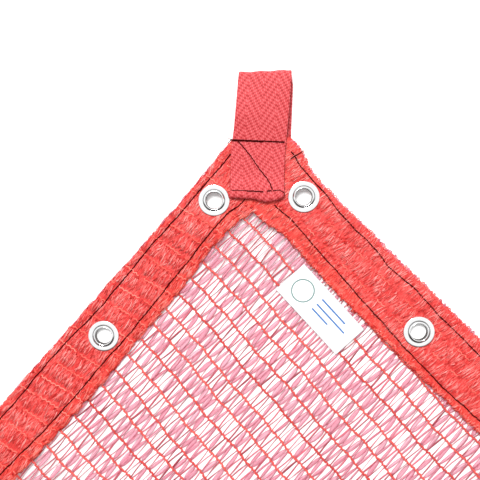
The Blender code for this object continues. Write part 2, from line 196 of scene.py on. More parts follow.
class Side:
    """One side of the cloth, on the same lines as its solid."""

    def __init__(self, name):
        (first, last), self.facts = SIDES[name]
        here = SIDE_ORDER.index(name)
        self.name = name
        self.start = CORNERS[first]
        run = CORNERS[last] - self.start
        self.long = float(np.linalg.norm(run))
        self.along = run / self.long
        self.inward = np.array([-self.along[1], self.along[0]])
        self.start_spread = outward(first)[1] * FLARE_BEFORE
        self.end_spread = outward(last)[1] * -FLARE_AFTER
        self.width = self.facts["width"]
        self.starts_upright = first in ("top", "bottom")
        self.eyelets = self.facts["eyelets"]
        self.before, self.after = (SIDES[SIDE_ORDER[k % 4]][1]["width"] for k in (here - 1, here + 1))
        self.start_angle = self.corner_angle(first)
        self.end_angle = self.corner_angle(last)
        self.phase = 1.3 * here

    @staticmethod
    def corner_angle(corner):
        upright = corner in ("top", "bottom")
        other, this = (HALF_X, HALF_Y) if upright else (HALF_Y, HALF_X)
        return 2 * math.atan2(other, this)

    def mitre_slope(self, neighbour, angle):
        return (neighbour + self.width * math.cos(angle)) / math.sin(angle) / self.width

    def reach(self, t, neighbour, angle):
        mitre = t * self.mitre_slope(neighbour, angle) + MITRE_GAP
        tip = (TIP_CUT - t * math.sin(angle / 2)) / math.cos(angle / 2)
        return np.maximum(mitre, tip)

    def span(self, t):
        low = self.reach(t, self.before, self.start_angle)
        return low, self.long - self.reach(t, self.after, self.end_angle)

    def edge_share(self, s, t):
        from_start = s / self.mitre_slope(self.before, self.start_angle)
        from_end = (self.long - s) / self.mitre_slope(self.after, self.end_angle)
        depth = np.maximum(np.minimum(np.minimum(self.width, from_start), from_end), 0.01)
        return np.maximum(0.0, 1 - t / depth) ** 1.5

    def flare(self, s):
        near_start = np.exp(-((np.maximum(0, s - FLARE_AT) / FLARE_SPREAD) ** 2))
        near_end = np.exp(-((np.maximum(0, self.long - s - FLARE_AT) / FLARE_SPREAD) ** 2))
        return self.start_spread * near_start[..., None] + self.end_spread * near_end[..., None]

    def pucker(self, s):
        waves = 0.8 * np.sin(2 * math.pi * s / 41 + self.phase)
        waves = waves + 0.5 * np.sin(2 * math.pi * s / 19 + 2.1 * self.phase)
        near = np.minimum(s, self.long - s)
        return PUCKER_SHARE * waves * eased((near - 30) / 30)

    def measured(self, table, s):
        """A depth from a table that starts at the cloth's upper or lower corner."""
        from_corner = s if self.starts_upright else self.long - s
        places, depths = zip(*table)
        return np.interp(from_corner, places, depths)

    def inner_wave(self, s, t):
        """How far the inner edge is drawn out from its even line, which the mitres don't share."""
        near = np.minimum(s, self.long - s)
        fade = eased((near - 1.1 * self.width) / 16)
        drawn = self.width - self.measured(self.facts["edge"], s)
        ragged = 0.3 * np.sin(s / 11 + self.phase) + 0.12 * np.sin(2 * math.pi * s / CHAIN_PITCH + self.phase)
        ragged = ragged + 0.15 * np.sin(s / 1.9) + 0.12 * np.sin(s / 0.83)
        share = np.clip(t / self.width, 0, 1.1)
        return fade * (drawn * share**2 + ragged * share**6)

    def at(self, s, t):
        """Where (s, t) lies on the floor plan, with the edge's waves."""
        share = self.edge_share(s, np.maximum(t, 0))
        shift = self.pucker(s) * share + self.inner_wave(s, np.maximum(t, 0))
        flat = self.start + self.along * s[..., None] + self.inward * (t - shift)[..., None]
        return flat + self.flare(s) * share[..., None]

    def straight(self, s, t):
        return self.start + self.along * s + self.inward * t

    def from_eyelets(self, place):
        """Distance to the middle of the nearest eyelet."""
        away = [np.linalg.norm(place - self.straight(*at), axis=-1) for at in self.eyelets]
        return np.min(away, axis=0)

    def seam_t(self, which, s):
        """Depth of a seam along the side: it wavers a little, and bends round an eyelet's flange."""
        t = self.measured(self.facts["seams"][which], s) + 0.16 * np.sin(s / 6.1) + 0.12 * np.sin(s / 2.3)
        for es, et in self.eyelets:
            near = np.exp(-(((s - es) / 15) ** 4))
            if which == 0:
                t = t - near * np.maximum(0, t - (et - FLANGE_R - 0.9))
            else:
                t = t + near * np.maximum(0, et + FLANGE_R + 0.9 - t)
        return t

    def top(self, s, t):
        """Height of the hem's upper side over the cloth's underside."""
        rise = 1.5 * eased(np.minimum(t, 1.8) / 1.8) ** 0.6
        fall = 0.8 * (1 - eased((self.width - t) / 0.9))
        crown = HEM_CROWN * np.sin(math.pi * np.clip(t / self.width, 0, 1))
        z = 1.5 + rise - fall + crown
        ruffle = 0.5 + 0.5 * np.sin(2 * math.pi * s / 7.3 + 3 * np.sin(s / 23 + t / 9))
        ruffle = ruffle * np.sin(math.pi * np.clip(t / self.width, 0, 1)) ** 0.5
        z = z - 0.22 * ruffle - 0.15 * (0.5 + 0.5 * np.sin(s / 13 + t / 4 + self.phase))
        for which in (0, 1):
            off = (t - self.seam_t(which, s)) / 1.2
            z = z - 0.5 * np.exp(-off * off)
        pressed = eased((FLANGE_R + 4.5 - self.from_eyelets(self.at(s, t))) / 4.0)
        return z * (1 - pressed) + np.minimum(z, SEAT_HIGH - 0.1) * pressed


SIDE_OF = {name: Side(name) for name in SIDE_ORDER}
APEX = CORNERS["top"]
ALONG_CHAINS = (CORNERS["right"] - APEX) / np.linalg.norm(CORNERS["right"] - APEX)
ACROSS_CHAINS = SIDE_OF["upper_left"].along


def cloth_place(a, b):
    """Where the knit's own coordinates lie on the floor plan."""
    return APEX + ALONG_CHAINS * a[..., None] + ACROSS_CHAINS * b[..., None]


def with_height(place, z):
    return np.concatenate([place, (z + lift(place))[..., None]], axis=-1)


# Meshes

def unit(v):
    return v / np.maximum(np.linalg.norm(v, axis=-1, keepdims=True), 1e-9)


def axes_along(paths):
    """Side and up directions for each point of each path; paths is (strands, points, 3)."""
    run = unit(np.gradient(paths, axis=1))
    up = np.zeros_like(run)
    up[..., 2] = 1
    steep = np.abs(run[..., 2]) > 0.95
    up[steep] = (0, 1, 0)
    across = unit(np.cross(up, run))
    return across, np.cross(run, across)


def tubes(paths, radii, sides):
    """Ring points of closed round strands. radii is one number or (strands, points)."""
    across, up = axes_along(paths)
    turn = 2 * math.pi * np.arange(sides) / sides
    r = np.broadcast_to(np.asarray(radii, float), paths.shape[:2])[..., None, None]
    ring = np.cos(turn)[:, None] * across[:, :, None] + np.sin(turn)[:, None] * up[:, :, None]
    return paths[:, :, None] + r * ring


def tapes(paths, widths, turns, thick):
    """Ring points of flat closed tapes. widths and turns are (strands, points); a turn of 0 lies flat."""
    across, up = axes_along(paths)
    wide = np.cos(turns)[..., None] * across + np.sin(turns)[..., None] * up
    deep = np.cos(turns)[..., None] * up - np.sin(turns)[..., None] * across
    w = widths[..., None] / 2
    h = thick / 2
    ring = [-wide * w - deep * h, wide * w - deep * h, wide * w + deep * h, -wide * w + deep * h]
    return paths[:, :, None] + np.stack(ring, axis=2)


def strand_faces(shape):
    m, n, k = shape[:3]
    first = np.arange(m)[:, None, None] * n * k
    ring = np.arange(n - 1)[None, :, None] * k
    corner = np.arange(k)[None, None]
    a = first + ring + corner
    b = first + ring + (corner + 1) % k
    quads = np.stack([a, b, b + k, a + k], -1).reshape(-1, 4)
    starts = np.arange(m)[:, None] * n * k + np.arange(k)[None, ::-1]
    ends = np.arange(m)[:, None] * n * k + (n - 1) * k + np.arange(k)[None]
    return quads.tolist() + starts.tolist() + ends.tolist()


def piece(name, groups, finishes):
    """One object from groups of (points, faces, finish); finish is a number, or one for each face."""
    points, faces, numbers = [], [], []
    base = 0
    for group_points, group_faces, number in groups:
        flat = np.asarray(group_points, float).reshape(-1, 3)
        points.append(flat)
        faces += [[base + i for i in face] for face in group_faces]
        numbers += np.broadcast_to(number, len(group_faces)).tolist()
        base += len(flat)
    mesh = bpy.data.meshes.new(name)
    mesh.from_pydata((np.concatenate(points) * MM).tolist(), [], faces)
    for finish in finishes:
        mesh.materials.append(finish)
    mesh.polygons.foreach_set("material_index", np.array(numbers, np.int32))
    mesh.polygons.foreach_set("use_smooth", np.ones(len(faces), bool))
    mesh.update()
    obj = bpy.data.objects.new(name, mesh)
    bpy.context.scene.collection.objects.link(obj)
    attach(obj, "root")
    return obj


def strands(points, number=0):
    return points, strand_faces(points.shape), number


# Materials

def new_material(name, **settings):
    """A material with its tree and shader; a setting's underscores stand for spaces."""
    made = bpy.data.materials.new(name)
    made.use_nodes = True
    shader = made.node_tree.nodes["Principled BSDF"]
    for key, value in settings.items():
        shader.inputs[key.replace("_", " ")].default_value = value
    return made, made.node_tree, shader


def ramp(tree, factor, stops):
    made = tree.nodes.new("ShaderNodeValToRGB")
    elements = made.color_ramp.elements
    while len(elements) < len(stops):
        elements.new(0.5)
    for element, (at, colour) in zip(elements, stops):
        element.position = at
        element.color = (*colour, 1)
    tree.links.new(factor, made.inputs["Fac"])
    return made.outputs["Color"]


def noise(tree, vector, scale, detail=3.0, stretch=(1, 1, 1), turned=0.0):
    mapping = tree.nodes.new("ShaderNodeMapping")
    mapping.vector_type = "TEXTURE"
    mapping.inputs["Rotation"].default_value = (0, 0, turned)
    mapping.inputs["Scale"].default_value = stretch
    tree.links.new(vector, mapping.inputs["Vector"])
    made = tree.nodes.new("ShaderNodeTexNoise")
    made.inputs["Scale"].default_value = scale
    made.inputs["Detail"].default_value = detail
    tree.links.new(mapping.outputs["Vector"], made.inputs["Vector"])
    return made.outputs["Fac"]


def bump(tree, shader, height, strength, distance):
    made = tree.nodes.new("ShaderNodeBump")
    made.inputs["Strength"].default_value = strength
    made.inputs["Distance"].default_value = distance
    tree.links.new(height, made.inputs["Height"])
    tree.links.new(made.outputs["Normal"], shader.inputs["Normal"])


def calc(tree, operation, first, second=None):
    made = tree.nodes.new("ShaderNodeMath")
    made.operation = operation
    for socket, value in zip(made.inputs, (first, second)):
        if value is None:
            continue
        if isinstance(value, (int, float)):
            socket.default_value = value
        else:
            tree.links.new(value, socket)
    return made.outputs[0]


def object_coordinates(tree):
    return tree.nodes.new("ShaderNodeTexCoord").outputs["Object"]


ACROSS_ANGLE = math.atan2(ACROSS_CHAINS[1], ACROSS_CHAINS[0])


def under_knit(name, stops):
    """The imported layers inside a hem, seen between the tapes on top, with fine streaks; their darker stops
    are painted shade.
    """
    made, tree, shader = new_material(name, Roughness=0.6)
    where = object_coordinates(tree)
    streaks = noise(tree, where, 1300, 4, (3.5, 1, 1), ACROSS_ANGLE)
    patches = noise(tree, where, 110, 3)
    mixed = weighted(tree, (streaks, 0.7), (patches, 0.3))
    tree.links.new(ramp(tree, mixed, stops), shader.inputs["Base Color"])
    bump(tree, shader, streaks, 0.8, 0.0004)
    return made


def weighted(tree, *parts):
    """The sum of (socket, weight) pairs."""
    total = None
    for socket, weight in parts:
        term = calc(tree, "MULTIPLY", socket, weight)
        total = term if total is None else calc(tree, "ADD", total, term)
    return total


def island_tape(name, stops, roughness=0.38, alpha=1.0):
    """Slit plastic tape, a little different from one tape to the next, with drawn streaks along it."""
    made, tree, shader = new_material(name, Roughness=roughness, Alpha=alpha)
    each = tree.nodes.new("ShaderNodeNewGeometry").outputs["Random Per Island"]
    where = object_coordinates(tree)
    streaks = noise(tree, where, 1900, 3, (3, 1, 1), ACROSS_ANGLE)
    wide = noise(tree, where, 70, 2)
    mixed = weighted(tree, (each, 0.48), (streaks, 0.30), (wide, 0.22))
    tree.links.new(ramp(tree, mixed, stops), shader.inputs["Base Color"])
    bump(tree, shader, streaks, 0.35, 0.0002)
    return made


def thread_finish():
    made, tree, shader = new_material("thread", Roughness=0.95, Specular_IOR_Level=0.05)
    where = object_coordinates(tree)
    fuzz = noise(tree, where, 2200, 3)
    colour = ramp(tree, fuzz, [(0.35, (0.020, 0.001, 0.001)), (0.7, (0.090, 0.002, 0.002))])
    tree.links.new(colour, shader.inputs["Base Color"])
    bump(tree, shader, fuzz, 0.6, 0.0001)
    return made


def weave_floats(tree, across, along):
    """The twill's floats, 0 to 1: PINGPONG folds the width into bands that slant alternate ways."""
    column = calc(tree, "DIVIDE", across, WEAVE_COLUMN)
    middle = calc(tree, "ADD", calc(tree, "FLOOR", column), 0.5)
    middle = calc(tree, "MULTIPLY", middle, WEAVE_COLUMN)
    from_turn = calc(tree, "SUBTRACT", middle, WEAVE_TURN + WEAVE_START)
    fold = calc(tree, "PINGPONG", from_turn, WEAVE_BAND)
    row = calc(tree, "SUBTRACT", along, calc(tree, "MULTIPLY", fold, WEAVE_SLOPE))
    turn = calc(tree, "MULTIPLY", row, 2 * math.pi / WEAVE_ROW)
    picks = calc(tree, "COSINE", calc(tree, "MULTIPLY", turn, 3))
    floats = weighted(tree, (calc(tree, "COSINE", turn), WEAVE_FLOAT), (picks, WEAVE_PICK))
    floats = calc(tree, "ADD", floats, 0.5)
    round_column = calc(tree, "MULTIPLY", calc(tree, "FRACT", column), math.pi)
    round_column = calc(tree, "SINE", round_column)
    return calc(tree, "MULTIPLY", floats, calc(tree, "POWER", round_column, 0.5))


def uv_parts(tree):
    """The UV pair, which is in millimetres, and its two parts."""
    uv = tree.nodes.new("ShaderNodeUVMap").outputs["UV"]
    parts = tree.nodes.new("ShaderNodeSeparateXYZ")
    tree.links.new(uv, parts.inputs[0])
    return uv, parts.outputs[0], parts.outputs[1]


def webbing_finish():
    """Herringbone twill: each warp yarn floats over two picks and under two, a pick on in the next yarn. The
    float pattern gives the bump, and a painted shade that is dark between the floats and lighter on their
    tops.
    """
    made, tree, shader = new_material("webbing", Roughness=0.7, Sheen_Weight=0.03)
    _, across, along = uv_parts(tree)
    floats_and_painted_shade = weave_floats(tree, across, along)
    where = object_coordinates(tree)
    fuzz = noise(tree, where, 1700, 3)
    patches = noise(tree, where, 70, 2)
    # Painted shade: the colour follows the floats, dark between them and lighter on their tops.
    mixed = weighted(tree, (floats_and_painted_shade, 0.66), (fuzz, 0.24), (patches, 0.10))
    stops = [(0.18, (0.33, 0.005, 0.008)), (0.38, (0.53, 0.028, 0.034)), (0.62, (0.69, 0.118, 0.128))]
    tree.links.new(ramp(tree, mixed, stops), shader.inputs["Base Color"])
    bump(tree, shader, floats_and_painted_shade, 0.7, 0.0004)
    return made


def metal_finish(name, tints, roughness):
    """Plated metal; tints and roughness each give the lowest and highest value."""
    made, tree, shader = new_material(name, Metallic=1.0)
    where = object_coordinates(tree)
    marks = noise(tree, where, 350, 4)
    low, high = roughness
    rough = ramp(tree, marks, [(0.3, (low, low, low)), (0.8, (high, high, high))])
    tree.links.new(rough, shader.inputs["Roughness"])
    tree.links.new(ramp(tree, marks, [(0.3, tints[0]), (0.8, tints[1])]), shader.inputs["Base Color"])
    bump(tree, shader, marks, 0.03, 0.0001)
    return made


def near_to(tree, socket, middle, reach):
    """1 where a value lies within the reach of a middle, and 0 elsewhere."""
    off = calc(tree, "ABSOLUTE", calc(tree, "SUBTRACT", socket, middle))
    return calc(tree, "LESS_THAN", off, reach)


def printed_ring(tree, x, y):
    ring_x = calc(tree, "SUBTRACT", x, LABEL_RING_AT)
    ring_y = calc(tree, "SUBTRACT", y, 0.5 * LABEL_WIDE)
    squares = [calc(tree, "MULTIPLY", part, part) for part in (ring_x, ring_y)]
    radius = calc(tree, "SQRT", calc(tree, "ADD", *squares))
    return near_to(tree, radius, LABEL_RING_R, LABEL_RING_HALF)


def printed_bars(tree, x, y):
    bars = None
    for middle, low, high in LABEL_BARS:
        inside_y = near_to(tree, y, middle, LABEL_BAR_HALF)
        half = (high - low) / 2
        bar = calc(tree, "MULTIPLY", near_to(tree, x, low + half, half), inside_y)
        bars = bar if bars is None else calc(tree, "MAXIMUM", bars, bar)
    return bars


def laid_over(tree, ground, where, colour):
    """A colour over a ground, wherever a value is 1."""
    made = tree.nodes.new("ShaderNodeMix")
    made.data_type = "RGBA"
    tree.links.new(where, made.inputs["Factor"])
    tree.links.new(ground, made.inputs["A"])
    made.inputs["B"].default_value = colour
    return made.outputs["Result"]


def label_finish():
    """White satin tape with a plain ring and three bars printed on it, and a painted shadow that greys it
    along one cut end and one long edge.
    """
    made, tree, shader = new_material("label_satin", Roughness=0.45)
    uv, x, y = uv_parts(tree)
    weave = noise(tree, uv, 3.0, 2, (1, 6, 1))
    # Painted shadow: the satin greys within 1.2 mm of one cut end and one long edge.
    from_shadowed_edges = calc(tree, "MINIMUM", x, calc(tree, "SUBTRACT", LABEL_WIDE, y))
    inner = calc(tree, "MINIMUM", calc(tree, "DIVIDE", from_shadowed_edges, 1.2), 1.0)
    shade = weighted(tree, (weave, 0.3), (inner, 0.7))
    stops = [(0.15, (0.50, 0.53, 0.55)), (0.6, (0.86, 0.89, 0.90)), (0.95, (0.94, 0.96, 0.96))]
    ground = ramp(tree, shade, stops)
    with_ring = laid_over(tree, ground, printed_ring(tree, x, y), RING_COLOUR)
    with_bars = laid_over(tree, with_ring, printed_bars(tree, x, y), BAR_COLOUR)
    tree.links.new(with_bars, shader.inputs["Base Color"])
    bump(tree, shader, weave, 0.25, 0.0001)
    return made


def floor_finish():
    made, _, shader = new_material("floor", Roughness=0.9, Specular_IOR_Level=0.1)
    shader.inputs["Base Color"].default_value = (0.95, 0.95, 0.95, 1)
    shader.inputs["Emission Color"].default_value = (1, 1, 1, 1)
    shader.inputs["Emission Strength"].default_value = FLOOR_GLOW
    return made



# The net

CHAINS = range(-1, 19)
CHAIN_FROM = 44  # distance from the upper left edge at which the chains' places are given
CHAIN_LAST_EVEN = 8
CHAIN_PITCH_NEAR = 12.45
CHAIN_PITCH_FAR = 13.2
NET_SHORT = HEM_ALONG - UNDER_HEM + 0.2  # how near the outer edges the net runs beside the chains
NET_FROM = HEM_ACROSS - UNDER_HEM - 1
NET_TO = SIDE - NET_FROM
LEG_PITCH = 2.6  # between two tapes along a chain
LEG_POINTS = 5
FLAT_SHARE = 0.6  # of the tapes lie flat, and the others are folded thin
CHAIN_SEED = 11
LEG_SEED = 23
LEG_LEAN = -0.5  # all tapes lean a little the same way


def chain_b(k, a):
    """A chain's place across the net at a distance along it: the chains fan a little off the hem."""
    near = min(k, CHAIN_LAST_EVEN)
    start = CHAIN_FIRST + CHAIN_PITCH_NEAR * near + CHAIN_PITCH_FAR * (k - near)
    slope = 0.062 + 0.0052 * k if k <= 10 else 0.114 * (18.5 - k) / 8.5
    waver = 0.45 * np.sin(a / 9.5 + start) + 0.3 * np.sin(a / 3.1 + 2 * start)
    return start + slope * (a - CHAIN_FROM) + waver


def runs_of(good, least):
    """Beginning and end of each run of true values that has at least so many."""
    edges = np.flatnonzero(np.diff(np.concatenate([[0], good.astype(int), [0]])))
    return [(b, e) for b, e in zip(edges[::2], edges[1::2]) if e - b >= least]


def chains(finish):
    """The chains of loops that run through the net, as knotty cords with a waver."""
    rng = np.random.default_rng(CHAIN_SEED)
    groups = []
    for k in CHAINS:
        a = np.arange(NET_FROM, NET_TO, 0.8)
        beat = 2 * math.pi * a / STITCH + rng.uniform(0, 6.28)
        b = chain_b(k, a) + 0.34 * np.sin(beat) + rng.normal(0, 0.06, len(a))
        for begin, end in runs_of((b > NET_SHORT) & (b < SIDE - NET_SHORT), 8):
            part = slice(begin, end)
            z = 0.85 + 0.12 * np.sin(beat[part] * 0.5)
            uneven = rng.uniform(-0.14, 0.14, end - begin)
            radii = CHAIN_R * (1 + 0.3 * np.sin(beat[part] * 2 + 0.6) + uneven)
            path = with_height(cloth_place(a[part], b[part]), z)
            groups.append(strands(tubes(path[None], radii[None], 5)))
    return piece("net_chains", groups, [finish])


def legs(finishes):
    """Tapes laid to and fro between the chains: sheer with folded edges and a crease, or folded thin."""
    rng = np.random.default_rng(LEG_SEED)
    count = int((NET_TO - NET_FROM - 3) / LEG_PITCH)
    share = np.linspace(0, 1, LEG_POINTS)
    belly = np.sin(math.pi * share)
    flats, edges, thins = [], [], []
    for k in range(CHAINS[0] - 1, CHAINS[-1] + 1):
        stops = NET_FROM + 1 + rng.uniform(0, LEG_PITCH) + LEG_PITCH * np.arange(count + 1)
        stops = stops + rng.normal(0, 0.3, count + 1)
        mood = np.sin(np.arange(count) / 5.5 + rng.uniform(0, 6)) * 0.2
        for i in range(count):
            lines = (k, k + 1) if i % 2 == 0 else (k + 1, k)
            drift = LEG_LEAN * (share if lines[0] == k else 1 - share) + rng.uniform(-0.4, 0.4) * share
            a = stops[i] + LEG_PITCH * (0.28 + 0.44 * share) + drift + rng.uniform(-0.4, 0.4) * belly
            ends = [float(chain_b(line, a[end])) for line, end in zip(lines, (0, -1))]
            ends = np.clip(ends, NET_SHORT, SIDE - NET_SHORT)
            if abs(ends[1] - ends[0]) < 3:
                continue
            b = ends[0] + (ends[1] - ends[0]) * share
            z = 0.8 + 0.25 * rng.uniform(-1, 1) * belly
            path = with_height(cloth_place(a, b), z)
            if rng.random() < FLAT_SHARE + mood[i]:
                widest = rng.uniform(0.9, 2.9)
                width = 0.5 + (widest - 0.5) * np.sin(math.pi * share ** rng.uniform(0.6, 1.7)) ** 0.28
                flats.append((path, width, rng.uniform(-0.2, 0.2) + rng.uniform(-0.25, 0.25) * share))
                crease = rng.uniform(-0.5, 0.5)
                folds = ((-1, rng.uniform(0.12, 0.2)), (crease, 0.1), (1, rng.uniform(0.14, 0.26)))
                for hand, thick in folds:
                    line = with_height(cloth_place(a + hand * width * 0.5, b), z + 0.1)
                    edges.append((line, np.full(LEG_POINTS, thick)))
            else:
                width = rng.uniform(0.5, 1.0) * (1 + 0.5 * rng.random() * belly)
                thins.append((path, width, rng.uniform(0, math.pi) + rng.uniform(-1.2, 1.2) * share))
    groups = [
        strands(tapes(*map(np.array, zip(*flats)), 0.06), 0),
        strands(tubes(*map(np.array, zip(*edges)), 3), 1),
        strands(tapes(*map(np.array, zip(*thins)), 0.3), 2),
    ]
    return piece("net_tapes", groups, finishes)


# The hems

FOLD_LINES = (-0.2, 14.2, 26.4, 38.2)  # depths of the chains in a hem that they run along
HEM_STROKES = 3600  # short tapes on each hem, before those over a hole or past a mitre are dropped
HEM_LAYER = 0.02  # how far the lowest tapes lie off the band
GAP_SHARE = 0.32  # tapes of painted shadow beside the chains, for each step along a chain
SINK_REACH = 1.3  # how far beside a seam the tapes are drawn down
HEM_SEEDS = {"tapes": 31, "chains": 41, "loops": 51, "fringe": 61}  # the side's number is added


def hem_band(side, finishes):
    """The folded band itself, closed all round, with a hole for each eyelet."""
    step = side.width - UNDER_HEM - 0.6
    under = 1.5
    near_edges = [0.4, 1.1, 1.8, 2.5, 3.2], [side.width - 0.9, side.width - 0.35]
    tops = np.concatenate([near_edges[0], np.linspace(4.2, side.width - 1.6, 23), near_edges[1]])[::-1]
    bottom_t = [0.0, 0.5, 1.5, side.width * 0.5, step, step, side.width - 0.5, side.width]
    bottom_z = [1.5, 0.4, 0.0, 0.0, 0.0, under, under, 2.1]
    depth = np.array(bottom_t + list(tops))
    f = np.linspace(0, 1, 201)[:, None]
    low, high = side.span(depth)
    s = low + (high - low) * f
    t = np.broadcast_to(depth, s.shape)
    z = side.top(s, t)
    z[:, : len(bottom_z)] = bottom_z
    points, faces, _ = strands(with_height(side.at(s, t), z)[None])
    beyond = (t > side.seam_t(1, s))[:-1].ravel().astype(int)
    numbers = np.concatenate([beyond, [0, 0]])
    band = piece("hem_band_" + side.name, [(points, faces, numbers)], finishes)
    cut_eyelet_holes(side, band)
    return band


def cut_eyelet_holes(side, band):
    cutters = []
    for es, et in side.eyelets:
        centre = side.straight(es, et)
        bpy.ops.mesh.primitive_cylinder_add(
            vertices=40,
            radius=(BARREL_R + 0.25) * MM,
            depth=0.03,
            location=(*(centre * MM), 0.0),
        )
        cutters.append(bpy.context.object)
        cut = band.modifiers.new("hole", "BOOLEAN")
        cut.object = cutters[-1]
        cut.operation = "DIFFERENCE"
        cut.solver = "EXACT"
    graph = bpy.context.evaluated_depsgraph_get()
    cut_mesh = bpy.data.meshes.new_from_object(band.evaluated_get(graph))
    band.modifiers.clear()
    band.data = cut_mesh
    for cutter in cutters:
        bpy.data.objects.remove(cutter)


def hem_line(k, t):
    """Where a chain crosses a hem, as a distance along it; the folded layer leans back."""
    return 56.1 + CHAIN_PITCH * k - 0.16 * (t - 15)


def near_seam(side, s, t, reach):
    """1 under a seam's stitches, falling to 0 a little way off."""
    offs = [np.abs(t - side.seam_t(which, s)) for which in (0, 1)]
    return np.exp(-((np.minimum(*offs) / reach) ** 2))


def stroke_places(side, rng, count, share):
    """Where each stroke runs: from chain to chain, or across the chains that follow the hem."""
    length = rng.uniform(2.0, 9.0, count)
    lean = rng.choice((-1, 1), count, p=(0.25, 0.75)) * rng.uniform(0.02, 0.34, count) * length
    bend = rng.normal(0, 0.25, count)[:, None] * np.sin(math.pi * share)
    sway = lean[:, None] * (share - 0.5) + bend
    if side.name in CHAINS_CROSS:
        bay = rng.integers(-5, 22, count)[:, None]
        t = rng.uniform(0.2, side.width + 0.4, count)[:, None] + sway
        first = 0.4 + (CHAIN_PITCH - 0.8 - length) * rng.random(count)
        s = hem_line(bay, t) + first[:, None] + length[:, None] * share
    else:
        lines = np.array(FOLD_LINES + (side.width + 1.5,))
        bay = rng.choice(4, count, p=(0.36, 0.3, 0.26, 0.08))
        room = lines[bay + 1] - lines[bay]
        length = np.minimum(length, room - 0.5)
        first = lines[bay] + (room - length) * rng.random(count)
        s = rng.uniform(10, side.long - 10, count)[:, None] + sway
        t = first[:, None] + length[:, None] * share
    return s, np.clip(t, 0.1, side.width + 0.6)


def hem_tapes(side, finishes, seed):
    """The tapes that show on a hem: short slack strokes, close together, that run from chain to chain."""
    rng = np.random.default_rng(seed)
    share = np.linspace(0, 1, 3)
    s, t = stroke_places(side, rng, HEM_STROKES, share)
    low, high = side.span(t)
    over_mitre = rng.uniform(-0.5, 2.6, HEM_STROKES)[:, None]
    inside = ((s > low - over_mitre) & (s < high + over_mitre)).all(axis=1)
    s, t = s[inside], t[inside]
    place = side.at(s, t)
    keep = (side.from_eyelets(place) > BARREL_R + 0.6).all(axis=1)
    s, t, place = s[keep], t[keep], place[keep]
    count = len(s)
    rise = rng.uniform(0.05, 0.6, count)[:, None] * np.sin(math.pi * share) ** 0.8
    rise = rise + rng.uniform(0, 0.12, count)[:, None]
    rise = rise * (1 - 0.9 * near_seam(side, s, t, SINK_REACH))
    z = side.top(s, np.minimum(t, side.width - 0.2)) + HEM_LAYER + rise
    under = eased((FLANGE_R + 1.2 - side.from_eyelets(place)) / 1.2)
    z = z * (1 - under) + np.minimum(z, SEAT_HIGH - 0.05) * under
    width = rng.uniform(0.25, 0.62, count)[:, None] * (0.6 + 0.4 * np.sin(math.pi * share))
    turn = rng.normal(0, 0.7, count)[:, None] + rng.normal(0, 0.7, count)[:, None] * share
    rings = tapes(with_height(place, z), width, turn * (1 - under), 0.12)
    deep = (t[:, 1] > side.seam_t(1, s[:, 1])) & (rng.random(count) < 0.5)
    groups = [strands(rings[~deep], 0), strands(rings[deep], 1)]
    return piece("hem_tapes_" + side.name, groups, finishes)


def zigzag(x):
    """A wave from -1 to 1 with straight flanks, once round for each 1 of x."""
    return 2 * np.abs(2 * (x % 1.0) - 1) - 1


def hem_chain_paths(side, rng):
    """Where the chains show on a hem, as pairs of (s, t) arrays."""
    if side.name in CHAINS_CROSS:
        t = np.arange(-0.4, side.width - 1.0, 0.75)
        for k in range(-5, 22):
            weave = 0.55 * zigzag(t / STITCH + rng.random()) + 0.5 * np.sin(t / 5.3 + k)
            yield hem_line(k, t) + weave + rng.normal(0, 0.1, len(t)), t
    else:
        for line in FOLD_LINES[1:3]:
            s = np.arange(20, side.long - 20, 0.75)
            t = line + 0.6 * np.sin(s / 31 + line) + 0.6 * zigzag(s / STITCH) + rng.normal(0, 0.12, len(s))
            yield s, t


def shown_runs(side, s, t, place, rng):
    """Where a chain is clear of the mitres and flanges, and the runs of it that show."""
    crossing = side.name in CHAINS_CROSS
    low, high = side.span(t)
    good = (s > low + 0.2) & (s < high - 0.2) & (side.from_eyelets(place) > FLANGE_R + 0.4)
    beat = np.sin(np.arange(len(s)) / rng.uniform(3, 5) + rng.uniform(0, 6))
    return good, runs_of(good & (beat > (-0.93 if crossing else 0.1)), 4)


def gap_shadow_tapes(side, gaps, rng):
    """Painted shadow in the gaps beside the chains, as short dark flat tapes."""
    s, t, beside = (np.concatenate(part) for part in zip(*gaps))
    share = np.linspace(0, 1, 3)
    drift = rng.uniform(1.0, 2.6, len(s))[:, None] * (share - 0.5)
    if side.name in CHAINS_CROSS:
        s = (s + beside)[:, None] + drift
        t = t[:, None] + 0.3 * drift
    else:
        s = s[:, None] + 0.25 * drift
        t = (t + rng.choice((-1.3, 1.3), len(t)))[:, None] + drift
    t = np.clip(t, 0.3, side.width - 0.4)
    z = side.top(s, t) + 0.42 * (1 - near_seam(side, s, t, SINK_REACH))
    width = rng.uniform(0.35, 0.75, len(s))[:, None] + 0 * s
    turn = rng.normal(0, 0.3, len(s))[:, None] + 0 * s
    return strands(tapes(with_height(side.at(s, t), z), width, turn, 0.1), 1)


def hem_chains(side, finishes, seed):
    """The chains that cross or follow a hem, half sunk into it, and the painted shadow in the gaps beside
    them.
    """
    rng = np.random.default_rng(seed)
    middle = 0.38 if side.name in CHAINS_CROSS else 0.32
    rings, gaps = [], []
    for s, t in hem_chain_paths(side, rng):
        place = side.at(s, t)
        good, runs = shown_runs(side, s, t, place, rng)
        for begin, end in runs:
            part = slice(begin, end)
            over_edge = 1.3 * eased((0.9 - t[part]) / 1.5)
            radii = middle + rng.uniform(-0.1, 0.1, end - begin)
            z = side.top(s[part], np.maximum(t[part], 0.4)) + 0.2 - over_edge
            rings.append(strands(tubes(with_height(place[part], z)[None], radii[None], 5), 0))
        at = np.flatnonzero(good)
        if len(at) < 4:
            continue
        picked = rng.choice(at, max(4, int(len(at) * GAP_SHARE)))
        beside = rng.uniform(0.5, 2.0, (2, len(picked)))[0]
        gaps.append((s[picked], t[picked], beside))
    rings.append(gap_shadow_tapes(side, gaps, rng))
    return piece("hem_chains_" + side.name, rings, finishes)


